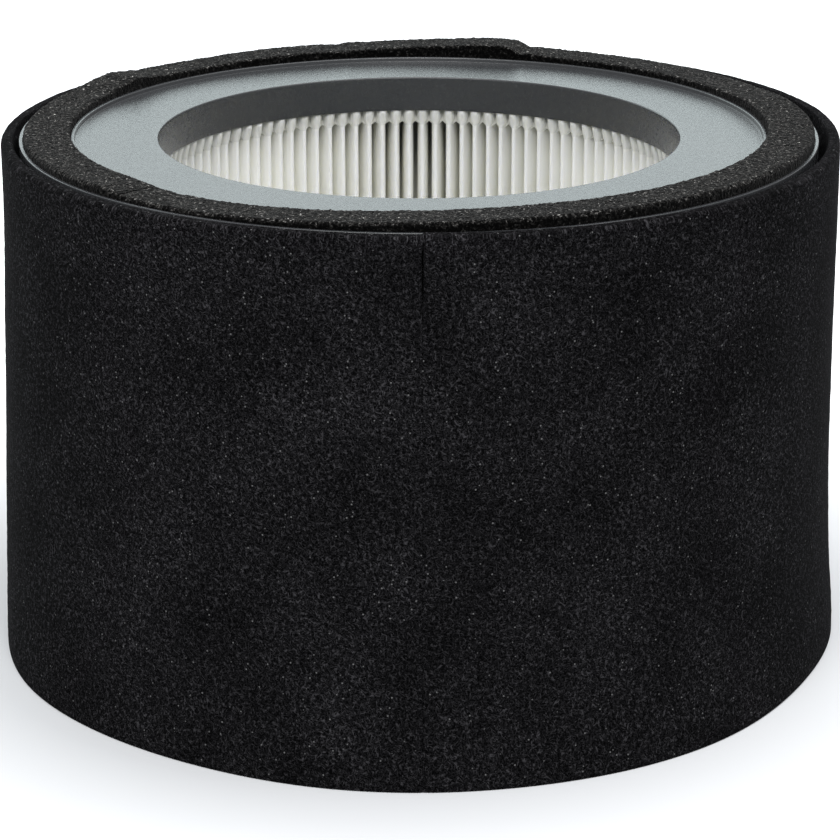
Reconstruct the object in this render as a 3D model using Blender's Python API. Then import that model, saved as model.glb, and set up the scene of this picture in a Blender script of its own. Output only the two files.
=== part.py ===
"""Round replacement filter of a room air cleaner, standing on its end. Metres, +Z up.

Two equal moulded end caps are potted onto a ring of pleated filter paper. Three foam strips
in the upper cap's channel make the seal, and a sheet of black felt is wrapped round the outside
and closed at the front over a strip of hook tape. The origin is at the middle of the underside.
"""
import math

import bmesh
import bpy
from mathutils import Vector

FIT = 0.0003  # gap between pieces that touch
SEALING_HEIGHT = 0.1614  # from the floor to the flange of the upper cap
TURN_STEPS = 64

# End caps: one moulding at both ends, with its flange at height 0 and its channel facing down
CAP_RADIUS = 0.1242
FLANGE_WIDTH = 0.0257  # from the opening to the rib
CAP_WALL = 0.0016
OPENING_ROUND = 0.0006
COLLAR_DEPTH = 0.0112
SKIRT_DEPTH = 0.0162
RIM_WIDTH = 0.0016
RIM_HEIGHT = 0.0012
CHANNEL_WIDTH = 0.0143  # between rim and rib, for the foam
RIB_WIDTH = 0.0012
RIB_HEIGHT = 0.0014

# Potting that the pleats' ends are set in
POTTING_RECESS = 0.0012  # from the skirt's edge up to the potting

# Pleated paper
PLEAT_PITCH = 0.00474  # between inner folds; a whole number of pleats goes round
PAPER_THICKNESS = 0.0005
PLEAT_CLEARANCE = 0.0006  # from the collar and the skirt
INNER_FOLD_WIDTH = 0.0034
OUTER_FOLD_WIDTH = 0.0050
INNER_FOLD_POINTS = 4
OUTER_FOLD_POINTS = 3

# Foam strips of the seal: each runs between two angles, and its height over the flange is
# given at angles along it, because the strips were laid by hand and stand up at their kinks
FOAM_ROUND = 0.0006
FOAM_JOINT_GAP = 0.0006
FOAM_STEP = 5.0  # degrees between sections
FOAM_STRIPS = {
    "foam_strip_right": ((-12, 0.0043), (15, 0.0040), (24, 0.0034), (64, 0.0034), (71, 0.0043),
                         (80, 0.0053), (91, 0.0053), (98, 0.0047), (104, 0.0042)),
    "foam_strip_left": ((104, 0.0042), (110, 0.0044), (132, 0.0036), (149, 0.0042), (160, 0.0034),
                        (214, 0.0034), (226, 0.0040)),
    "foam_strip_front": ((226, 0.0028), (255, 0.0029), (268, 0.0036), (285, 0.0042), (348, 0.0043)),
}

# Felt wrap: close to the rim at the front, slack at the back, and wider towards the floor
FELT_THICKNESS = 0.0038
FELT_SLACK = 0.0034
FELT_STAND = 0.0008  # how far its top edge stands above the flange
FELT_STEP = 0.0008  # the end on the right of the seam sits higher by this much
FELT_TAPER = 0.0060
FELT_LIP = 0.0009
FELT_LIP_HEIGHT = 0.0200
FELT_ROUND = 0.0015
SEAM_ANGLE = -89.6
SEAM_GAP = 0.0006
FELT_LEVELS = 4

# Hook tape behind the seam
TAPE_WIDTH = 0.0200
TAPE_THICKNESS = 0.0010
TAPE_END_GAP = 0.0040

skirt_inside = CAP_RADIUS - CAP_WALL
channel_outside = CAP_RADIUS - RIM_WIDTH
channel_inside = channel_outside - CHANNEL_WIDTH
rib_inside = channel_inside - RIB_WIDTH
opening_radius = rib_inside - FLANGE_WIDTH
collar_outside = opening_radius + CAP_WALL
bottom_flange_height = max(RIB_HEIGHT, RIM_HEIGHT)
potting_depth = SKIRT_DEPTH - POTTING_RECESS
pleat_bottom = bottom_flange_height + potting_depth + FIT
pleat_top = SEALING_HEIGHT - potting_depth - FIT


def clear_scene():
    for obj in list(bpy.data.objects):
        bpy.data.objects.remove(obj, do_unlink=True)


def material(name, colour, roughness, sheen=0.0):
    made = bpy.data.materials.new(name)
    made.use_nodes = True
    shader = made.node_tree.nodes["Principled BSDF"]
    shader.inputs["Base Color"].default_value = (*colour, 1.0)
    shader.inputs["Roughness"].default_value = roughness
    shader.inputs["Metallic"].default_value = 0.0
    shader.inputs["Sheen Weight"].default_value = sheen
    return made


def add_object(name, mesh, surface, sharp_angle=35.0):
    """Turn a bmesh into a named object with smooth shading between its sharp edges."""
    data = bpy.data.meshes.new(name)
    mesh.to_mesh(data)
    mesh.free()
    data.materials.append(surface)
    data.shade_smooth()
    data.set_sharp_from_angle(angle=math.radians(sharp_angle))
    obj = bpy.data.objects.new(name, data)
    bpy.context.collection.objects.link(obj)
    return obj


def polar(radius, degrees, height=0.0):
    angle = math.radians(degrees)
    return Vector((radius * math.cos(angle), radius * math.sin(angle), height))


def turned(profile):
    """Spin a closed outline of (radius, height) points all the way round the Z axis."""
    mesh = bmesh.new()
    corners = [mesh.verts.new((radius, 0.0, height)) for radius, height in profile]
    sides = [mesh.edges.new(pair) for pair in zip(corners, corners[1:] + corners[:1])]
    bmesh.ops.spin(mesh, geom=corners + sides, cent=(0, 0, 0), axis=(0, 0, 1),
                   angle=math.tau, steps=TURN_STEPS, use_merge=True)
    bmesh.ops.recalc_face_normals(mesh, faces=mesh.faces)
    return mesh


def swept(sections):
    """Skin a row of equal closed sections into one solid with flat ends."""
    mesh = bmesh.new()
    loops = []
    for section in sections:
        points = [mesh.verts.new(point) for point in section]
        loops.append([mesh.edges.new(pair) for pair in zip(points, points[1:] + points[:1])])
    for near, far in zip(loops, loops[1:]):
        bmesh.ops.bridge_loops(mesh, edges=near + far)
    for end in (loops[0], loops[-1]):
        bmesh.ops.contextual_create(mesh, geom=end)
    bmesh.ops.recalc_face_normals(mesh, faces=mesh.faces)
    return mesh


def along(pairs, position):
    """Read a value at a position from (position, value) pairs, with straight runs between."""
    for (start, low), (end, high) in zip(pairs, pairs[1:]):
        if position <= end:
            return low + (high - low) * (position - start) / (end - start)
    return pairs[-1][1]


def end_cap():
    """Collar, flange, rib, channel, rim and skirt of the moulded cap."""
    return turned([
        (opening_radius, -COLLAR_DEPTH),
        (opening_radius, -OPENING_ROUND),
        (opening_radius + OPENING_ROUND, 0.0),
        (rib_inside, 0.0),
        (rib_inside, RIB_HEIGHT),
        (channel_inside, RIB_HEIGHT),
        (channel_inside, 0.0),
        (channel_outside, 0.0),
        (channel_outside, RIM_HEIGHT),
        (CAP_RADIUS, RIM_HEIGHT),
        (CAP_RADIUS, -SKIRT_DEPTH),
        (skirt_inside, -SKIRT_DEPTH),
        (skirt_inside, -CAP_WALL),
        (collar_outside, -CAP_WALL),
        (collar_outside, -COLLAR_DEPTH),
    ])


def potting_ring():
    """Potting that fills the cap from the underside of its flange."""
    inside = collar_outside + FIT
    outside = skirt_inside - FIT
    return turned([
        (inside, -potting_depth),
        (inside, -CAP_WALL - FIT),
        (outside, -CAP_WALL - FIT),
        (outside, -potting_depth),
    ])


def fold(centre_radius, degrees, radius, facing, points):
    """Points of one half-round fold, which bulges outwards (facing 1) or inwards (facing -1)."""
    centre = polar(centre_radius, degrees)
    outwards = polar(1.0, degrees)
    sideways = Vector((-outwards.y, outwards.x, 0.0))
    path = []
    for index in range(points):
        turn = math.pi * (index / (points - 1) - 0.5)
        path.append(centre + radius * (facing * math.cos(turn) * outwards + math.sin(turn) * sideways))
    return path


def pleated_ring():
    """One closed ribbon of paper, folded to and fro between the collar and the skirt."""
    inner_bend = (INNER_FOLD_WIDTH - PAPER_THICKNESS) / 2
    outer_bend = (OUTER_FOLD_WIDTH - PAPER_THICKNESS) / 2
    inner_centre = collar_outside + PLEAT_CLEARANCE + PAPER_THICKNESS / 2 + inner_bend
    outer_centre = skirt_inside - PLEAT_CLEARANCE - PAPER_THICKNESS / 2 - outer_bend
    count = round(math.tau * inner_centre / PLEAT_PITCH)
    pitch = 360.0 / count
    path = []
    for index in range(count):
        path += fold(inner_centre, index * pitch, inner_bend, -1, INNER_FOLD_POINTS)
        path += fold(outer_centre, (index + 0.5) * pitch, outer_bend, 1, OUTER_FOLD_POINTS)
    mesh = bmesh.new()
    points = [mesh.verts.new(point + Vector((0, 0, pleat_bottom))) for point in path]
    ribbon = [mesh.edges.new(pair) for pair in zip(points, points[1:] + points[:1])]
    raised = bmesh.ops.extrude_edge_only(mesh, edges=ribbon)["geom"]
    bmesh.ops.translate(mesh, vec=(0, 0, pleat_top - pleat_bottom),
                        verts=[item for item in raised if isinstance(item, bmesh.types.BMVert)])
    return mesh


def foam_strip(heights):
    """A straight strip of foam bent along the channel, with its two upper edges eased."""
    inside = channel_inside + FIT
    outside = channel_outside - FIT
    first, last = heights[0][0], heights[-1][0]
    half_gap = math.degrees(FOAM_JOINT_GAP / 2 / channel_inside)
    count = math.ceil((last - first) / FOAM_STEP)
    sections = []
    for index in range(count + 1):
        share = index / count
        place = first + (last - first) * share
        angle = place + half_gap * (1 - 2 * share)
        top = along(heights, place)
        outline = [(inside, FIT), (inside, top - FOAM_ROUND), (inside + FOAM_ROUND, top),
                   (outside - FOAM_ROUND, top), (outside, top - FOAM_ROUND), (outside, FIT)]
        sections.append([polar(radius, angle, SEALING_HEIGHT + height) for radius, height in outline])
    return swept(sections)


def felt_inside(degrees, height):
    """Inner radius of the felt: slack grows to the back, taper and lip grow to the floor."""
    facets = math.cos(math.pi / TURN_STEPS)
    top_radius = (CAP_RADIUS + FIT) / facets + FELT_SLACK * (1 + math.sin(math.radians(degrees))) / 2
    foot_radius = (CAP_RADIUS + FIT) / facets + FELT_TAPER
    drop = min(1.0, max(0.0, 1 - height / SEALING_HEIGHT)) ** 1.5
    lip = FELT_LIP * min(1.0, max(0.0, 1.3 * (1 - height / FELT_LIP_HEIGHT)))
    return top_radius + (foot_radius - top_radius) * drop + lip


def felt_wrap():
    """Felt bent all the way round from the right side of the seam to its left side."""
    half_gap = math.degrees(SEAM_GAP / 2 / CAP_RADIUS)
    sections = []
    for index in range(TURN_STEPS + 1):
        share = index / TURN_STEPS
        angle = SEAM_ANGLE + half_gap + (360 - 2 * half_gap) * share
        top = SEALING_HEIGHT + FELT_STAND + FELT_STEP * max(0.0, 1 - 5 * share)
        levels = [0.0, 0.3 * FELT_LIP_HEIGHT]
        span = top - FELT_ROUND - FELT_LIP_HEIGHT
        levels += [FELT_LIP_HEIGHT + span * step / FELT_LEVELS for step in range(FELT_LEVELS + 1)]
        outside = [(felt_inside(angle, height) + FELT_THICKNESS, height) for height in levels]
        crown = felt_inside(angle, top)
        eased = [(crown + FELT_THICKNESS - 0.3 * FELT_ROUND, top - 0.3 * FELT_ROUND),
                 (crown + FELT_THICKNESS - FELT_ROUND, top), (crown, top)]
        inside = [(felt_inside(angle, height), height) for height in reversed(levels[:-1])]
        sections.append([polar(radius, angle, height) for radius, height in outside + eased + inside])
    return swept(sections)


def seam_tape():
    """Hook tape that bridges the seam on the inside of the felt, between the two caps."""
    bottom = bottom_flange_height + SKIRT_DEPTH + TAPE_END_GAP
    top = SEALING_HEIGHT - SKIRT_DEPTH - TAPE_END_GAP
    half_width = math.degrees(TAPE_WIDTH / 2 / CAP_RADIUS)
    sections = []
    for row in range(6):
        height = bottom + (top - bottom) * row / 5
        angles = [SEAM_ANGLE + half_width * step / 2 for step in range(-2, 3)]
        back = [polar(felt_inside(angle, height) - 2 * FIT, angle, height) for angle in angles]
        front = [polar(felt_inside(angle, height) - 2 * FIT - TAPE_THICKNESS, angle, height)
                 for angle in reversed(angles)]
        sections.append(back + front)
    return swept(sections)


def build():
    clear_scene()
    plastic = material("grey_moulded_plastic", (0.075, 0.080, 0.085), 0.38)
    potting = material("white_potting", (0.70, 0.70, 0.66), 0.50)
    paper = material("white_filter_paper", (0.80, 0.80, 0.76), 0.85)
    foam = material("black_open_cell_foam", (0.030, 0.029, 0.028), 0.95)
    felt = material("black_needle_felt", (0.014, 0.014, 0.016), 0.95, sheen=0.3)
    hooks = material("black_hook_tape", (0.020, 0.020, 0.020), 0.60)

    upper_cap = add_object("top_end_cap", end_cap(), plastic)
    upper_cap.location.z = SEALING_HEIGHT
    lower_cap = add_object("bottom_end_cap", end_cap(), plastic)
    lower_cap.location.z = bottom_flange_height
    lower_cap.rotation_euler.x = math.pi

    upper_potting = add_object("top_potting", potting_ring(), potting)
    upper_potting.location.z = SEALING_HEIGHT
    lower_potting = add_object("bottom_potting", potting_ring(), potting)
    lower_potting.location.z = bottom_flange_height
    lower_potting.rotation_euler.x = math.pi

    pleats = add_object("pleat_pack", pleated_ring(), paper, sharp_angle=80.0)
    wall = pleats.modifiers.new("paper", "SOLIDIFY")
    wall.thickness = PAPER_THICKNESS
    wall.offset = 0.0
    wall.use_even_offset = True

    for name, heights in FOAM_STRIPS.items():
        add_object(name, foam_strip(heights), foam)
    add_object("felt_wrap", felt_wrap(), felt, sharp_angle=50.0)
    add_object("seam_tape", seam_tape(), hooks)


build()
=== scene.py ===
import math
import random

import bmesh
import bpy
from mathutils import Matrix, Vector, noise


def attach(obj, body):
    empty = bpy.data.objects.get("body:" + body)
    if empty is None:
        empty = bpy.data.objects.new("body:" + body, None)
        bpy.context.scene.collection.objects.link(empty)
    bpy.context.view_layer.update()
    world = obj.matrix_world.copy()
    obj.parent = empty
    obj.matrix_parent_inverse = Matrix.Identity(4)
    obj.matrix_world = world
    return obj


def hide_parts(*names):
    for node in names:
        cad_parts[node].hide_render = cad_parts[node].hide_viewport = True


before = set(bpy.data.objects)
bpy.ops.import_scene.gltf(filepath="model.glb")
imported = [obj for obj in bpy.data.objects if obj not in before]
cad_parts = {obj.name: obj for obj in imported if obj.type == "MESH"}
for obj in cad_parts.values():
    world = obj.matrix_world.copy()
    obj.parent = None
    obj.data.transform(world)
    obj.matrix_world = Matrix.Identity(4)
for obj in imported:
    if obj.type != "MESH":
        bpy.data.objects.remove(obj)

noise.seed_set(5)  # vector noise takes its offset from the clock unless it is seeded
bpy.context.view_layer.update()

# Camera: a long lens a little above the filter, facing the seam of its felt.
eye = bpy.data.cameras.new("front_view")
eye.sensor_width = 36.0
eye.lens = 121.86
eye.clip_start, eye.clip_end = 0.02, 30.0
camera = bpy.data.objects.new("front_view", eye)
camera.location = (0.00034, -0.8714, 0.3671)
camera.rotation_euler.x = math.radians(90 - 19.06)
bpy.context.collection.objects.link(camera)
bpy.context.scene.camera = camera
bpy.context.scene.view_settings.view_transform = "Standard"


# Studio: a white floor that runs out to a white surround, a broad soft light overhead, a low
# wide one behind the filter that gives the caps their grazing sheen, and a weak one in front.
def put(tree, kind, inputs=(), **settings):
    """Add a node and return its outputs. Inputs are plain values, or outputs of other nodes."""
    made = tree.nodes.new("ShaderNode" + kind)
    for name, value in settings.items():
        setattr(made, name, value)
    for name, value in dict(inputs).items():
        if isinstance(value, bpy.types.NodeSocket):
            tree.links.new(value, made.inputs[name])
        else:
            made.inputs[name].default_value = value
    return made.outputs


def blank_material(name):
    made = bpy.data.materials.new(name)
    made.use_nodes = True
    made.node_tree.nodes.clear()
    return made, made.node_tree


def soft_light(name, place, aim, width, height, power, colour=(1, 1, 1)):
    lamp = bpy.data.lights.new(name, "AREA")
    lamp.shape = "RECTANGLE"
    lamp.size, lamp.size_y = width, height
    lamp.energy = power
    lamp.color = colour
    made = bpy.data.objects.new(name, lamp)
    made.location = place
    made.rotation_euler = (Vector(aim) - Vector(place)).to_track_quat("-Z", "Y").to_euler()
    made.visible_camera = False
    bpy.context.collection.objects.link(made)


surround = bpy.data.worlds.new("white_surround")
surround.use_nodes = True
tree = surround.node_tree
tree.nodes.clear()
path = put(tree, "LightPath")
seen = put(tree, "Math", {0: path["Is Camera Ray"], 1: path["Is Transmission Ray"]},
           operation="MAXIMUM")
ambient = put(tree, "Background", {"Color": (0.97, 0.98, 1.0, 1), "Strength": 0.62})
shown = put(tree, "Background", {"Color": (1, 1, 1, 1), "Strength": 1.0})
mixed = put(tree, "MixShader", {0: seen[0], 1: ambient[0], 2: shown[0]})
put(tree, "OutputWorld", {"Surface": mixed[0]})
bpy.context.scene.world = surround

soft_light("overhead", (0.3, 0.1, 1.5), (0, 0, 0.1), 1.4, 1.2, 12.0)
soft_light("behind", (-0.55, 1.7, 0.84), (0, 0, 0.16), 2.6, 0.9, 10.3, (0.83, 0.985, 0.99))
soft_light("front", (-0.12, -1.2, 1.5), (0, 0, 0.1), 1.5, 1.1, 30.5)

mesh = bmesh.new()
bmesh.ops.create_grid(mesh, x_segments=1, y_segments=1, size=6.0)
data = bpy.data.meshes.new("floor")
mesh.to_mesh(data)
mesh.free()
floor = bpy.data.objects.new("floor", data)
bpy.context.collection.objects.link(floor)
FOOT_RADIUS = 0.134
made, tree = blank_material("white_floor")
path = put(tree, "LightPath")
seen = put(tree, "Math", {0: path["Is Camera Ray"], 1: path["Is Glossy Ray"]}, operation="MAXIMUM")
# painted shade: the floor's glow for camera and glossy rays fades towards the filter's foot,
# darkening the floor round it on top of its real shadow, and glows to white further off
away = put(tree, "TexCoord")["Object"]
away = put(tree, "VectorMath", {0: away, 1: (0.012, 0, 0)}, operation="ADD")[0]
away = put(tree, "VectorMath", {0: away}, operation="LENGTH")["Value"]
glow_with_painted_foot_shade = put(tree, "MapRange", {0: away, 1: FOOT_RADIUS, 2: 0.30, 3: 0.04, 4: 0.7})
glow_with_painted_foot_shade = put(tree, "Math", {0: seen[0], 1: glow_with_painted_foot_shade[0]}, operation="MULTIPLY")
glow = put(tree, "Emission", {"Color": (0.98, 0.99, 1.0, 1), "Strength": glow_with_painted_foot_shade[0]})
matt = put(tree, "BsdfDiffuse", {"Color": (0.60, 0.61, 0.625, 1)})
both = put(tree, "AddShader", {0: glow[0], 1: matt[0]})
put(tree, "OutputMaterial", {"Surface": both[0]})
data.materials.append(made)


# End caps: one moulding at both ends, with collar, flange, rib, foam channel, rim and skirt.
# They are dark grey plastic with a satin, lightly sparked face, turned over at the floor.
FIT = 0.0003
SEALING_HEIGHT = 0.1614
LOWER_FLANGE = 0.0014
OPENING, COLLAR_OUTSIDE = 0.0814, 0.0830
RIB_INSIDE, CHANNEL_INSIDE = 0.1071, 0.1083
RIM_INSIDE, CAP_RADIUS = 0.1231, 0.1242
CAP_WALL, COLLAR_DEPTH, SKIRT_DEPTH = 0.0016, 0.0115, 0.0162
RIB_HEIGHT, RIM_HEIGHT = 0.0014, 0.0012
turn_over = Matrix.Translation((0, 0, LOWER_FLANGE)) @ Matrix.Rotation(math.pi, 4, "X")


def polar(radius, degrees, height=0.0):
    angle = math.radians(degrees)
    return Vector((radius * math.cos(angle), radius * math.sin(angle), height))


def spun(outline, steps, start=0.0, turn=360.0):
    """Wrap a grid round the Z axis (in degrees) and round a closed (radius, height) outline."""
    mesh = bmesh.new()
    outline = outline + outline[:1]
    rows = len(outline) - 1
    bmesh.ops.create_grid(mesh, x_segments=steps, y_segments=rows, size=0.5)
    for vert in mesh.verts:
        radius, height = outline[round((vert.co.y + 0.5) * rows)]
        vert.co = polar(radius, start + turn * (vert.co.x + 0.5), height)
    bmesh.ops.remove_doubles(mesh, verts=mesh.verts, dist=1e-7)
    bmesh.ops.holes_fill(mesh, edges=[edge for edge in mesh.edges if edge.is_boundary], sides=0)
    bmesh.ops.recalc_face_normals(mesh, faces=mesh.faces)
    return mesh


def round_rings(mesh, rings, segments=3):
    """Round the circular edges that run at each (radius, height), by the radius given third."""
    for radius, height, rounding in rings:
        ring = [edge for edge in mesh.edges if all(
            abs(math.hypot(end.co.x, end.co.y) - radius) < 1e-5 and abs(end.co.z - height) < 1e-5
            for end in edge.verts)]
        bmesh.ops.bevel(mesh, geom=ring, offset=rounding, offset_type="OFFSET", segments=segments,
                        profile=0.5, affect="EDGES", material=-1)


def finish_piece(name, mesh, surface, node, sharp_angle=40.0):
    """Turn a bmesh into an object that stands for a node of the frame and rides on the filter."""
    data = bpy.data.meshes.new(name)
    mesh.to_mesh(data)
    mesh.free()
    data.materials.append(surface)
    data.shade_smooth()
    data.set_sharp_from_angle(angle=math.radians(sharp_angle))
    piece = bpy.data.objects.new(name, data)
    bpy.context.collection.objects.link(piece)
    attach(piece, "root")
    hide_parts(node)
    return piece


def both_ends(make_mesh, name, node, surface, sharp_angle=40.0):
    """Stand a piece of the cap at the top, and the same piece turned over at the floor."""
    for end, node_end, place in (
            ("upper", "top", Matrix.Translation((0, 0, SEALING_HEIGHT))),
            ("lower", "bottom", turn_over)):
        mesh = make_mesh()
        bmesh.ops.transform(mesh, matrix=place, verts=mesh.verts)
        finish_piece(f"{end}_{name}", mesh, surface, f"{node_end}_{node}", sharp_angle)


def cap_mesh():
    """The moulding with its flange at zero. Rings beside each rounding keep flat faces flat."""
    near = 0.0009  # from a rounded edge to the ring beside it
    mesh = spun([
        (OPENING, -COLLAR_DEPTH), (OPENING, near - COLLAR_DEPTH), (OPENING, -near), (OPENING, 0.0),
        (OPENING + near, 0.0), (RIB_INSIDE - near, 0.0), (RIB_INSIDE, 0.0),
        (RIB_INSIDE, RIB_HEIGHT), (RIB_INSIDE + 0.0005, RIB_HEIGHT),
        (CHANNEL_INSIDE - 0.0003, RIB_HEIGHT), (CHANNEL_INSIDE, RIB_HEIGHT), (CHANNEL_INSIDE, 0.0),
        (RIM_INSIDE, 0.0), (RIM_INSIDE, RIM_HEIGHT), (RIM_INSIDE + 0.0002, RIM_HEIGHT),
        (CAP_RADIUS - 0.0003, RIM_HEIGHT), (CAP_RADIUS, RIM_HEIGHT),
        (CAP_RADIUS, -near), (CAP_RADIUS, near - SKIRT_DEPTH), (CAP_RADIUS, -SKIRT_DEPTH),
        (CAP_RADIUS - CAP_WALL, -SKIRT_DEPTH), (CAP_RADIUS - CAP_WALL, -CAP_WALL),
        (COLLAR_OUTSIDE, -CAP_WALL), (COLLAR_OUTSIDE, -COLLAR_DEPTH)], 256)
    round_rings(mesh, [
        (OPENING, 0.0, 0.00045), (RIB_INSIDE, RIB_HEIGHT, 0.0004),
        (CHANNEL_INSIDE, RIB_HEIGHT, 0.0002), (RIM_INSIDE, RIM_HEIGHT, 0.0001),
        (CAP_RADIUS, RIM_HEIGHT, 0.0002), (RIB_INSIDE, 0.0, 0.00015),
        (OPENING, -COLLAR_DEPTH, 0.00015), (COLLAR_OUTSIDE, -COLLAR_DEPTH, 0.00015),
        (CAP_RADIUS, -SKIRT_DEPTH, 0.0003)])
    return mesh


plastic, tree = blank_material("grey_moulded_plastic")
place = put(tree, "TexCoord")["Object"]
spark = put(tree, "TexNoise", {"Vector": place, "Scale": 2400.0, "Detail": 2.0, "Roughness": 0.6})
mottle = put(tree, "TexNoise", {"Vector": place, "Scale": 700.0, "Detail": 2.0})
cloud = put(tree, "TexNoise", {"Vector": place, "Scale": 35.0, "Detail": 3.0})
tone = put(tree, "ValToRGB", {0: cloud[0]})
ramp = tree.nodes[-1].color_ramp
ramp.elements[0].position, ramp.elements[0].color = 0.3, (0.030, 0.032, 0.0345, 1)
ramp.elements[1].position, ramp.elements[1].color = 0.7, (0.037, 0.039, 0.0415, 1)
gloss = put(tree, "MapRange", {0: mottle[0], 1: 0.3, 2: 0.7, 3: 0.235, 4: 0.285})
relief = put(tree, "Math", {0: mottle[0], 1: 0.6}, operation="MULTIPLY")
relief = put(tree, "Math", {0: spark[0], 1: relief[0]}, operation="ADD")
bump = put(tree, "Bump", {"Strength": 0.34, "Distance": 0.0002, "Height": relief[0]})
shader = put(tree, "BsdfPrincipled", {"Base Color": tone[0], "Roughness": gloss[0], "IOR": 1.52,
                                      "Normal": bump[0]})
put(tree, "OutputMaterial", {"Surface": shader[0]})

both_ends(cap_mesh, "cap", "end_cap", plastic)


# Pleats: one long strip of white fibre paper, folded to and fro 113 times between collar and
# skirt. The folds were gathered by hand, so they lean and crowd a little, most at the back.
PLEATS = 113
PITCH = 360.0 / PLEATS
PAPER = 0.00045
INNER_BEND, OUTER_BEND = 0.00050, 0.00225
INNER_EDGE, OUTER_EDGE = 0.0826, 0.1219
FLANK = ((0.0839, 0.00075), (0.0852, 0.00102), (0.0875, 0.00128), (0.0925, 0.00157),
         (0.1080, 0.00160))  # (radius, half the width of a pleat there)
PLEAT_LOW = LOWER_FLANGE + COLLAR_DEPTH + 0.0002
PLEAT_HIGH = SEALING_HEIGHT - COLLAR_DEPTH - 0.0002
MIDDLE_ROWS = 10
# Resin soaks both ends of the paper. There it widens the folds' noses, by a share of their width,
# and draws them in until they stand flush with the collar.
SOAKED = 0.0052
NOSE_WIDER, NOSE_DRAWN = 1.05, 0.0010


def angle_of(point):
    return math.degrees(math.atan2(point.y, point.x)) % 360.0


def fold(centre_radius, degrees, bend, facing, points):
    """Points of a half-round fold that bulges outwards (facing 1) or inwards (facing -1)."""
    outwards = polar(1.0, degrees)
    sideways = Vector((-outwards.y, outwards.x, 0.0))
    turns = [math.pi * (index / (points - 1) - 0.5) for index in range(points)]
    return [outwards * (centre_radius + facing * bend * math.cos(turn))
            + sideways * bend * math.sin(turn) for turn in turns]


random.seed(11)
pleat_shift = [random.uniform(-0.10, 0.10) for _ in range(PLEATS)]
pleat_lean = [random.uniform(-0.10, 0.10) for _ in range(PLEATS)]
pleat_reach = [random.uniform(0.0, 0.0003) for _ in range(PLEATS)]
for number, nudge in zip(range(19, 38), (0.15, 0.25, 0.30, 0.33, 0.28, 0.24, 0.15, 0.13, 0.10, 0.0,
                                         -0.09, -0.17, -0.11, -0.12, -0.15, -0.15, -0.10, -0.05,
                                         0.0)):
    pleat_shift[number] = nudge
    pleat_lean[number] *= 0.5


def fold_shift(number, height):
    """How many degrees the inner fold of a pleat stands off its even place, at a height."""
    level = (SEALING_HEIGHT - height) / 0.05
    return pleat_shift[number] + pleat_lean[number] * math.sin(level + number)


def fraction(value, start, end):
    """How far a value has come from start (0) to end (1), held at 0 and 1 outside them."""
    return min(1.0, max(0.0, (value - start) / (end - start)))


def eased(share):
    """A share of 0 to 1 that starts and ends gently."""
    return share * share * (3 - 2 * share)


path = []
inner_centre = INNER_EDGE + PAPER / 2 + INNER_BEND
outer_centre = OUTER_EDGE - PAPER / 2 - OUTER_BEND
for number in range(PLEATS):
    path += fold(inner_centre, number * PITCH, INNER_BEND, -1, 7)
    path += [polar(radius, number * PITCH + math.degrees(half / radius)) for radius, half in FLANK]
    path += fold(outer_centre, (number + 0.5) * PITCH, OUTER_BEND, 1, 5)
    path += [polar(radius, (number + 1) * PITCH - math.degrees(half / radius))
             for radius, half in reversed(FLANK)]
mesh = bmesh.new()
points = [mesh.verts.new(point + Vector((0, 0, PLEAT_LOW))) for point in path]
ribbon = [mesh.edges.new(pair) for pair in zip(points, points[1:] + points[:1])]
end_rows = [0.0008, 0.0012, 0.0016, 0.0016]
middle_row = (PLEAT_HIGH - PLEAT_LOW - 2 * sum(end_rows)) / MIDDLE_ROWS
for rise in end_rows + [middle_row] * MIDDLE_ROWS + end_rows[::-1]:
    raised = bmesh.ops.extrude_edge_only(mesh, edges=ribbon)["geom"]
    ribbon = [item for item in raised if isinstance(item, bmesh.types.BMEdge)]
    bmesh.ops.translate(mesh, vec=(0, 0, rise),
                        verts=[item for item in raised if isinstance(item, bmesh.types.BMVert)])
for vert in mesh.verts:
    radius, degrees = math.hypot(vert.co.x, vert.co.y), angle_of(vert.co)
    from_fold = degrees - round(degrees / PITCH) * PITCH
    number = round(degrees / PITCH) % PLEATS
    inward = fraction(radius, 0.1150, 0.0870)
    moved = degrees + fold_shift(number, vert.co.z) * inward
    ripple = noise.noise(Vector((number * 3.7, degrees * 0.4, vert.co.z * 90))) * 0.00012
    radius += (pleat_reach[number] + ripple) * inward
    wet = fraction(min(PLEAT_HIGH - vert.co.z, vert.co.z - PLEAT_LOW), SOAKED, 0.0)
    nose = fraction(radius, INNER_EDGE + 0.0055, INNER_EDGE + 0.0010)
    moved += from_fold * NOSE_WIDER * eased(min(1.0, wet * 3.6)) * nose
    front = fraction(radius, INNER_EDGE + 0.0140, INNER_EDGE + 0.0060)
    radius -= NOSE_DRAWN * eased(wet) * front
    vert.co = polar(radius, moved, vert.co.z)


def lets_light_through(tree, shader, tint):
    """Make a thin white piece partly clear to lamps: its shadows are pale and take its tint."""
    path = put(tree, "LightPath")
    clear = put(tree, "BsdfTransparent", {"Color": tint})
    return put(tree, "MixShader", {0: path["Is Shadow Ray"], 1: shader[0], 2: clear[0]})


paper, tree = blank_material("white_filter_paper")
place = put(tree, "TexCoord")["Object"]
stretched = put(tree, "Mapping", {"Vector": place, "Scale": (1, 1, 0.12)})
streak = put(tree, "TexNoise", {"Vector": stretched[0], "Scale": 900.0, "Detail": 3.0})
blotch = put(tree, "TexNoise", {"Vector": place, "Scale": 130.0, "Detail": 3.0})
fleece = put(tree, "TexNoise", {"Vector": place, "Scale": 3000.0, "Detail": 2.0})
tone = put(tree, "Mix", {0: blotch[0], 6: (0.945, 0.945, 0.885, 1), 7: (0.975, 0.975, 0.925, 1)},
           data_type="RGBA")
tone = put(tree, "Mix", {0: streak[0], 6: tone[2], 7: (0.98, 0.98, 0.95, 1)}, data_type="RGBA",
           blend_type="MULTIPLY")
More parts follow.
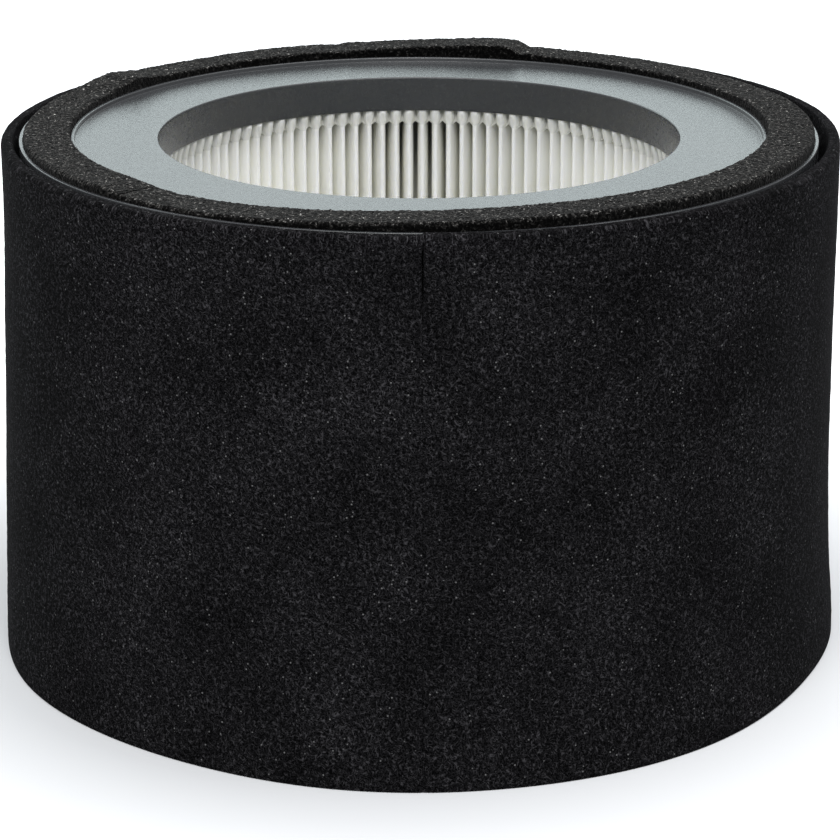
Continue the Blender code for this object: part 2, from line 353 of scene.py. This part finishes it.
# the soaked ends are greyer, up to a slightly wavy line
parts = put(tree, "SeparateXYZ", {0: place})
from_middle = put(tree, "Math", {0: parts[2], 1: (PLEAT_HIGH + PLEAT_LOW) / 2},
                  operation="SUBTRACT")
from_middle = put(tree, "Math", {0: from_middle[0]}, operation="ABSOLUTE")
wavy = put(tree, "Math", {0: blotch[0], 1: 0.0016, 2: from_middle[0]}, operation="MULTIPLY_ADD")
dry = (PLEAT_HIGH - PLEAT_LOW) / 2 - SOAKED + 0.0007
soaked = put(tree, "MapRange", {0: wavy[0], 1: dry, 2: dry + 0.0004, 3: 0.0, 4: 1.0})
tone = put(tree, "Mix", {0: soaked[0], 6: tone[2], 7: (0.80, 0.805, 0.81, 1)}, data_type="RGBA",
           blend_type="MULTIPLY")
height = put(tree, "Math", {0: streak[0], 1: fleece[0]}, operation="ADD")
bump = put(tree, "Bump", {"Strength": 0.25, "Distance": 0.0002, "Height": height[0]})
shader = put(tree, "BsdfPrincipled", {"Base Color": tone[2], "Roughness": 0.85,
                                      "Specular IOR Level": 0.15, "Subsurface Weight": 1.0,
                                      "Subsurface Radius": (1.0, 0.98, 0.85),
                                      "Subsurface Scale": 0.0018, "Normal": bump[0]})
shader = lets_light_through(tree, shader, (0.87, 0.87, 0.845, 1))
put(tree, "OutputMaterial", {"Surface": shader[0]})

pleats = finish_piece("folded_paper", mesh, paper, "pleat_pack", 80.0)
wall = pleats.modifiers.new("paper", "SOLIDIFY")
wall.thickness = PAPER
wall.offset = 0.0


# Potting: white resin poured into each cap, in which the pleats' ends are set. It creeps a
# little way up each fold and hangs in small arches over the gaps between them.
POTTING_DEPTH = 0.0150
ARCH_LOW, ARCH_HIGH = 0.0169, 0.0158
SHAPED_FROM, BEAD_FROM = COLLAR_DEPTH - 0.0035, 0.0132
POTTING_STEPS = PLEATS * 16


def potting_mesh():
    inside, outside = COLLAR_OUTSIDE + FIT, CAP_RADIUS - CAP_WALL - FIT
    levels = [CAP_WALL + FIT + (ARCH_LOW - CAP_WALL - FIT) * (step / 20) ** 0.6
              for step in range(21)]
    outline = [(inside, -level) for level in levels]
    outline += [(inside + 0.0006, -ARCH_LOW), (inside + 0.0040, -POTTING_DEPTH),
                (outside, -POTTING_DEPTH), (outside, -CAP_WALL - FIT)]
    mesh = spun(outline, POTTING_STEPS)
    for vert in mesh.verts:
        radius, degrees = math.hypot(vert.co.x, vert.co.y), angle_of(vert.co)
        depth = -vert.co.z
        if radius > inside + 0.0010 or depth < SHAPED_FROM:
            continue
        number = round(degrees / PITCH) % PLEATS
        gaps = [(side, ((number + side) % PLEATS) * PITCH) for side in (-1, 0, 1)]
        centres = [even + fold_shift((number + side) % PLEATS, SEALING_HEIGHT - depth)
                   for side, even in gaps]
        off = min(abs((degrees - centre + 180) % 360 - 180) for centre in centres)
        lip = ARCH_LOW + (ARCH_HIGH - ARCH_LOW) * fraction(off, 0.72, 1.57) ** 1.1
        lip += 0.00020 * noise.noise(Vector((degrees * 0.9, 3.0, 0.0)))
        share = fraction(depth, SHAPED_FROM, ARCH_LOW)
        new_depth = SHAPED_FROM + (lip - SHAPED_FROM) * share
        wave = noise.noise(Vector((degrees * 1.3, new_depth * 500, 7.0)))
        # the folds' noses stand out of the resin, which comes forward a little at the arch's lip
        bead = (0.0005 + 0.0003 * wave) * eased(fraction(new_depth, BEAD_FROM, ARCH_HIGH))
        radius += INNER_EDGE - inside + 0.0023 - bead
        vert.co = polar(radius, degrees, -new_depth)
    return mesh


resin, tree = blank_material("white_potting")
place = put(tree, "TexCoord")["Object"]
ropes = put(tree, "TexNoise", {"Vector": place, "Scale": 420.0, "Detail": 3.0})
grain = put(tree, "TexNoise", {"Vector": place, "Scale": 1600.0, "Detail": 2.0})
tone = put(tree, "Mix", {0: ropes[0], 6: (0.44, 0.44, 0.41, 1), 7: (0.56, 0.56, 0.53, 1)},
           data_type="RGBA")
height = put(tree, "Math", {0: ropes[0], 1: grain[0]}, operation="ADD")
bump = put(tree, "Bump", {"Strength": 0.3, "Distance": 0.0003, "Height": height[0]})
shader = put(tree, "BsdfPrincipled", {"Base Color": tone[2], "Roughness": 0.5,
                                      "Specular IOR Level": 0.3, "Normal": bump[0]})
shader = lets_light_through(tree, shader, (0.8, 0.8, 0.76, 1))
put(tree, "OutputMaterial", {"Surface": shader[0]})

both_ends(potting_mesh, "potting", "potting", resin, 60.0)


# Foam seal: three straight strips of black open-cell foam, each bent a third of the way round
# the channel. They butt end to end, and stand up where they were kinked in laying.
FOAM_STRIPS = {  # (degrees, height of the foam there) from end to end
    "right": ((-12, 0.0043), (15, 0.0042), (24, 0.0034), (60, 0.0033), (71.4, 0.0036),
              (73.4, 0.0056), (78, 0.0060), (84, 0.0053), (91, 0.0048), (98, 0.0043),
              (102.5, 0.0042), (103.3, 0.0037), (104, 0.0037)),
    "left": ((104, 0.0038), (110, 0.0041), (132, 0.0034), (141, 0.0036), (148.5, 0.0052),
             (158, 0.0034), (214, 0.0034), (221, 0.0036), (226, 0.0029)),
    "front": ((226, 0.0027), (231, 0.0023), (240, 0.0024), (255, 0.0030), (268, 0.0037),
              (285, 0.0042), (348, 0.0043)),
}
FOAM_TOP, FOAM_SIDE = 20, 6
FOAM_STEP = 0.2
FOAM_EASE, FOAM_OUTER_EASE, FOAM_END_EASE = 0.00035, 0.0008, 0.0016
FOAM_GAP = 0.014
FOAM_PER_DEGREE = 0.0020


def along(pairs, place):
    """Read a value at a place from (place, value) pairs, with straight runs between."""
    for (start, low), (end, high) in zip(pairs, pairs[1:]):
        if place <= end:
            return low + (high - low) * (place - start) / (end - start)
    return pairs[-1][1]


def foam_mesh(heights):
    inside, outside = CHANNEL_INSIDE + FIT, RIM_INSIDE - FIT
    side = [step / FOAM_SIDE for step in range(FOAM_SIDE)]
    outline = [(inside, level) for level in side]
    outline += [(inside + (outside - inside) * step / FOAM_TOP, 1.0)
                for step in range(FOAM_TOP + 1)]
    outline += [(outside, level) for level in reversed(side)]
    first, last = heights[0][0] + FOAM_GAP / 2, heights[-1][0] - FOAM_GAP / 2
    mesh = spun(outline, round((last - first) / FOAM_STEP), first, last - first)
    for vert in mesh.verts:
        radius = math.hypot(vert.co.x, vert.co.y)
        degrees = (angle_of(vert.co) - heights[0][0] + 1.0) % 360.0 + heights[0][0] - 1.0
        top = along(heights, degrees)
        from_end = min(degrees - first, last - degrees) * FOAM_PER_DEGREE
        if from_end < FOAM_END_EASE:
            top -= 0.00005 * (1 - from_end / FOAM_END_EASE) ** 2
        for from_edge, ease in ((radius - inside, FOAM_EASE), (outside - radius, FOAM_OUTER_EASE)):
            inset = fraction(from_edge, ease, 0.0)
            top -= ease * (1 - math.sqrt(1 - inset ** 2))
        height = FIT + (top - FIT) * vert.co.z
        spot = polar(radius, degrees, height)
        if vert.co.z > 0.01:
            coarse, fine = noise.noise_vector(spot * 420), noise.noise_vector(spot * 1300)
            spot += coarse * 0.00018 + fine * 0.00026
        vert.co = spot
    return mesh


foam, tree = blank_material("black_open_cell_foam")
place = put(tree, "TexCoord")["Object"]
cells = put(tree, "TexVoronoi", {"Vector": place, "Scale": 1100.0}, feature="F1")
struts = put(tree, "TexNoise", {"Vector": place, "Scale": 1050.0, "Detail": 2.0, "Roughness": 0.8,
                               "Distortion": 0.8})
strut = put(tree, "Math", {0: struts[0], 1: 2.0}, operation="MULTIPLY")
strut = put(tree, "Math", {0: strut[0], 1: 12.0}, operation="POWER")
# painted shade: faces that turn away from upright get a darker colour, so the foam's sides read
# darker than its top
facing = put(tree, "SeparateXYZ", {0: put(tree, "TexCoord")["Normal"]})
painted_side_shade = put(tree, "MapRange", {0: facing[2], 1: 0.1, 2: 0.9, 3: 0.18, 4: 1.0})
struts_with_painted_shade = put(tree, "Math", {0: strut[0], 1: painted_side_shade[0]}, operation="MULTIPLY")
tone = put(tree, "VectorMath", {0: (0.0040, 0.0039, 0.0037), "Scale": struts_with_painted_shade[0]}, operation="SCALE")
height = put(tree, "Math", {0: cells[0], 1: struts[0]}, operation="ADD")
bump = put(tree, "Bump", {"Strength": 0.7, "Distance": 0.0005, "Height": height[0]})
shader = put(tree, "BsdfPrincipled", {"Base Color": tone[0], "Roughness": 0.85,
                                      "Specular IOR Level": 0.03, "Sheen Weight": 0.05,
                                      "Sheen Roughness": 0.45, "Normal": bump[0]})
put(tree, "OutputMaterial", {"Surface": shader[0]})
for name, heights in FOAM_STRIPS.items():
    mesh = foam_mesh(heights)
    bmesh.ops.translate(mesh, vec=(0, 0, SEALING_HEIGHT), verts=mesh.verts)
    strip = finish_piece(f"foam_{name}", mesh, foam, f"foam_strip_{name}", 70.0)


# Felt wrap: one sheet of black needle felt, bent round the filter and closed at the front edge
# to edge. It lies close to the rim in front, stands off it behind, and spreads at the floor.
FELT_THICKNESS = 0.0038
FELT_SLACK, FELT_TAPER = 0.0034, 0.0060
FELT_LIP, FELT_LIP_HEIGHT = 0.0009, 0.0200
FELT_STAND, FELT_STEP = 0.0009, 0.0006
FELT_GAP = FIT + 0.00015
SEAM, SEAM_SLIT, SEAM_EASE = -89.5, 0.01, 0.0014
SEAM_RADIUS, FIBRE_RADIUS = 0.128, 0.131  # where the gap is measured, and the fibres laid out
FELT_STATIONS = 560
OUTER_ROWS, INNER_ROWS = 96, 18
# where the sheet bulges or dents: (degrees, width in degrees, height, spread, how far out)
FELT_SWELLS = (
    (8, 35, 0.145, 0.050, 0.0012), (186, 30, 0.050, 0.050, 0.0008),
    (186, 30, 0.140, 0.030, -0.00028), (183, 22, 0.0, 0.020, -0.0012),
    (186, 30, 0.108, 0.020, 0.0003), (-26, 15, 0.0, 0.030, -0.0017), (207, 16, 0.0, 0.030, 0.0012),
    (-90, 60, 0.0, 0.020, 0.0012), (-120, 17, 0.0, 0.025, -0.0009),
    (5, 25, 0.018, 0.012, 0.0005), (183, 25, 0.018, 0.012, 0.0004), (-4, 16, 0.006, 0.014, 0.0003),
    (0, 22, 0.058, 0.022, -0.0004),
)


def hill(degrees, middle, width):
    """One at the middle angle, and less and less away from it."""
    return math.exp(-(((degrees - middle + 180) % 360 - 180) / width) ** 2)


def felt_inside(degrees, height):
    """Inner radius of the felt: slack grows to the back, taper and lip grow to the floor."""
    top = CAP_RADIUS + FELT_GAP + FELT_SLACK * (1 + math.sin(math.radians(degrees))) / 2
    foot = CAP_RADIUS + FELT_GAP + FELT_TAPER
    drop = fraction(height, SEALING_HEIGHT, 0.0) ** 1.5
    lip = FELT_LIP * min(1.0, max(0.0, 1.3 * (1 - height / FELT_LIP_HEIGHT)))
    for middle, width, level, spread, amount in FELT_SWELLS:
        lip += amount * hill(degrees, middle, width) * math.exp(-((height - level) / spread) ** 2)
    return top + (foot - top) * drop + lip


def felt_section():
    """Closed outline of (distance from the inner face, share of the height), foot to top."""
    outer = [(FELT_THICKNESS, step / OUTER_ROWS) for step in range(OUTER_ROWS + 1)]
    crown = [(FELT_THICKNESS - inset, 1.0) for inset in (0.0002, 0.0005, 0.0009, 0.0013, 0.0022)]
    crown += [(inset, 1.0) for inset in (0.0007, 0.0003)]
    inner = [(0.0, 1 - step / INNER_ROWS) for step in range(INNER_ROWS + 1)]
    under = [(0.0004, 0.0), (FELT_THICKNESS - 0.0004, 0.0)]
    return outer + crown + inner + under


base, turn = 0.1, 360 - 2 * SEAM_SLIT
mesh = spun([(base + off, level) for off, level in felt_section()], FELT_STATIONS,
            SEAM + SEAM_SLIT, turn)
for vert in mesh.verts:
    off = math.hypot(vert.co.x, vert.co.y) - base
    level = vert.co.z
    share = ((angle_of(vert.co) - SEAM) % 360.0 - SEAM_SLIT) / turn
    top = SEALING_HEIGHT + FELT_STAND + FELT_STEP * max(0.0, 1 - 5 * share)
    for middle, width, amount in ((27, 22, 0.0005), (-118, 42, 0.0004), (8, 12, 0.0004)):
        top += amount * hill(share * 360 + SEAM, middle, width)
    top += 0.00012 * noise.noise(Vector((share * 90, 0.0, 5.0)))
    height = top * level
    # the seam gapes a little below its top, and closes again further down
    gaping = max(0.12, fraction(height, 0.1440, 0.1480)) * fraction(height, 0.1612, 0.1600)
    gap = 0.00038 * gaping + 0.00003 * noise.noise(Vector((0.0, 0.0, height * 160)))
    gap *= max(0.0, off / FELT_THICKNESS) ** 0.8
    open_angle = math.degrees(max(gap, 0.0) / SEAM_RADIUS)
    degrees = SEAM + open_angle + (360 - 2 * open_angle) * share
    # the upper edges are rounded, most on the outside, and so are the outer edges at the seam
    from_face = min(off, FELT_THICKNESS - off)
    ease = 0.0013 if off > FELT_THICKNESS / 2 else 0.0004
    if level == 1.0 and from_face < ease:
        height -= ease * (1 - math.sqrt(max(0.0, 1 - (1 - from_face / ease) ** 2)))
    if level == 0.0 and from_face < 0.0003:
        height += 0.0004
    radius = felt_inside(degrees, height) + off
    from_seam = min(share, 1 - share) * math.tau * SEAM_RADIUS
    if off > FELT_THICKNESS / 2 and from_seam < SEAM_EASE:
        radius -= 0.0005 * max(0.25, gaping) * (1 - from_seam / SEAM_EASE) ** 2
    radius += 0.0003 * noise.noise(polar(2.2, degrees, height * 14))
    spot = polar(radius, degrees, max(height, 0.0))
    if off > 0.0 and level > 0.0:
        spot += noise.noise_vector(spot * 700) * 0.00012
    vert.co = spot

felt, tree = blank_material("black_needle_felt")
group = bpy.data.node_groups.new("loose_fibres", "ShaderNodeTree")
for name, kind in (("Vector", "NodeSocketVector"), ("Turn", "NodeSocketFloat"),
                   ("Scale", "NodeSocketFloat"), ("Width", "NodeSocketFloat")):
    group.interface.new_socket(name=name, in_out="INPUT", socket_type=kind)
group.interface.new_socket(name="Fibre", in_out="OUTPUT", socket_type="NodeSocketFloat")
into = group.nodes.new("NodeGroupInput").outputs
bend = put(group, "TexNoise", {"Vector": into["Vector"], "Scale": 340.0, "Detail": 1.0})
push = put(group, "VectorMath", {0: bend["Color"], 1: (-0.5, -0.5, -0.5)}, operation="ADD")
push = put(group, "VectorMath", {0: push[0], "Scale": 0.0012}, operation="SCALE")
bent = put(group, "VectorMath", {0: into["Vector"], 1: push[0]}, operation="ADD")
laid = put(group, "VectorRotate", {"Vector": bent[0], "Angle": into["Turn"]},
           rotation_type="Z_AXIS")
drawn = put(group, "VectorMath", {0: laid[0], 1: (1.0, 0.28, 1.0)}, operation="MULTIPLY")
field = put(group, "TexNoise", {"Vector": drawn[0], "Scale": into["Scale"], "Detail": 0.0})
off = put(group, "Math", {0: field[0], 1: 0.5}, operation="SUBTRACT")
off = put(group, "Math", {0: off[0]}, operation="ABSOLUTE")
line = put(group, "MapRange", {0: off[0], 1: 0.0, 2: into["Width"], 3: 1.0, 4: 0.0},
           interpolation_type="SMOOTHSTEP")
moved = put(group, "VectorMath", {0: laid[0], 1: (0.31, 0.17, 0.23)}, operation="ADD")
breaks = put(group, "TexNoise", {"Vector": moved[0], "Scale": 800.0, "Detail": 1.0})
shows = put(group, "MapRange", {0: breaks[0], 1: 0.48, 2: 0.66, 3: 0.0, 4: 1.0},
            interpolation_type="SMOOTHSTEP")
fibre = put(group, "Math", {0: line[0], 1: shows[0]}, operation="MULTIPLY")
end = group.nodes.new("NodeGroupOutput")
group.links.new(fibre[0], end.inputs["Fibre"])


def fibre_layer(tree, place, turn, scale, width):
    """One layer of fibres that lie mostly one way, turned by an angle from upright."""
    made = tree.nodes.new("ShaderNodeGroup")
    made.node_tree = group
    tree.links.new(place, made.inputs["Vector"])
    for name, value in (("Turn", math.radians(turn)), ("Scale", scale), ("Width", width)):
        made.inputs[name].default_value = value
    return made.outputs[0]


# the fibres follow the sheet: across is the way round it, level its height plus its depth
place = put(tree, "TexCoord")["Object"]
parts = put(tree, "SeparateXYZ", {0: place})
across = put(tree, "Math", {0: parts[0], 1: parts[1]}, operation="ARCTAN2")
across = put(tree, "Math", {0: across[0], 1: FIBRE_RADIUS}, operation="MULTIPLY")
level = put(tree, "VectorMath", {0: place, 1: (1, 1, 0)}, operation="MULTIPLY")
level = put(tree, "VectorMath", {0: level[0]}, operation="LENGTH")["Value"]
level = put(tree, "Math", {0: level, 1: parts[2]}, operation="ADD")
flat = put(tree, "CombineXYZ", {0: across[0], 1: level[0]})
layers = [fibre_layer(tree, flat[0], turn, scale, width) for turn, scale, width in (
    (8, 1120.0, 0.060), (-38, 1230.0, 0.055), (52, 1060.0, 0.055), (88, 1340.0, 0.055))]
fibres = layers[0]
for layer in layers[1:]:
    fibres = put(tree, "Math", {0: fibres, 1: layer}, operation="MAXIMUM")[0]
grains = put(tree, "TexNoise", {"Vector": place, "Scale": 2100.0, "Detail": 1.0})
grain = put(tree, "MapRange", {0: grains[0], 1: 0.40, 2: 0.72, 3: 0.0, 4: 1.0})
ground = put(tree, "Mix", {0: grain[0], 6: (0.0007, 0.0007, 0.0008, 1),
                           7: (0.0092, 0.0090, 0.0099, 1)}, data_type="RGBA")
tone = put(tree, "Mix", {0: fibres, 6: ground[2], 7: (0.038, 0.037, 0.040, 1)},
           data_type="RGBA")
cloud = put(tree, "TexNoise", {"Vector": place, "Scale": 32.0, "Detail": 3.0, "Roughness": 0.55})
shade = put(tree, "MapRange", {0: cloud[0], 1: 0.3, 2: 0.7, 3: 0.62, 4: 1.24})
tone = put(tree, "VectorMath", {0: tone[2], "Scale": shade[0]}, operation="SCALE")
specks = put(tree, "TexVoronoi", {"Vector": place, "Scale": 520.0}, feature="F1")
chosen = put(tree, "Math", {0: specks["Color"], 1: 0.62}, operation="GREATER_THAN")
speck = put(tree, "MapRange", {0: specks["Distance"], 1: 0.08, 2: 0.16, 3: 1.0, 4: 0.0})
speck = put(tree, "Math", {0: speck[0], 1: chosen[0]}, operation="MULTIPLY")
tone = put(tree, "Mix", {0: speck[0], 6: tone[0], 7: (0.12, 0.12, 0.12, 1)}, data_type="RGBA")
bump = put(tree, "Bump", {"Strength": 0.6, "Distance": 0.0003, "Height": fibres})
shader = put(tree, "BsdfPrincipled", {"Base Color": tone[2], "Roughness": 0.9,
                                      "Specular IOR Level": 0.02, "Normal": bump[0]})
put(tree, "OutputMaterial", {"Surface": shader[0]})
wrap = finish_piece("felt_sheet", mesh, felt, "felt_wrap", 80.0)


# Hook tape: a strip of hooks behind the seam, out of sight, that holds both ends of the felt.
# It stays the frame's own piece, with a weave of small hooks in its finish.
hooks, tree = blank_material("black_hook_tape")
place = put(tree, "TexCoord")["Object"]
rows = put(tree, "TexVoronoi", {"Vector": place, "Scale": 800.0, "Randomness": 0.25}, feature="F1")
tone = put(tree, "Mix", {0: rows[0], 6: (0.004, 0.004, 0.004, 1), 7: (0.014, 0.014, 0.014, 1)},
           data_type="RGBA")
bump = put(tree, "Bump", {"Strength": 0.8, "Distance": 0.0004, "Height": rows[0]})
shader = put(tree, "BsdfPrincipled", {"Base Color": tone[2], "Roughness": 0.8,
                                      "Specular IOR Level": 0.1, "Normal": bump[0]})
put(tree, "OutputMaterial", {"Surface": shader[0]})
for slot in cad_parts["seam_tape"].material_slots:
    slot.material = hooks
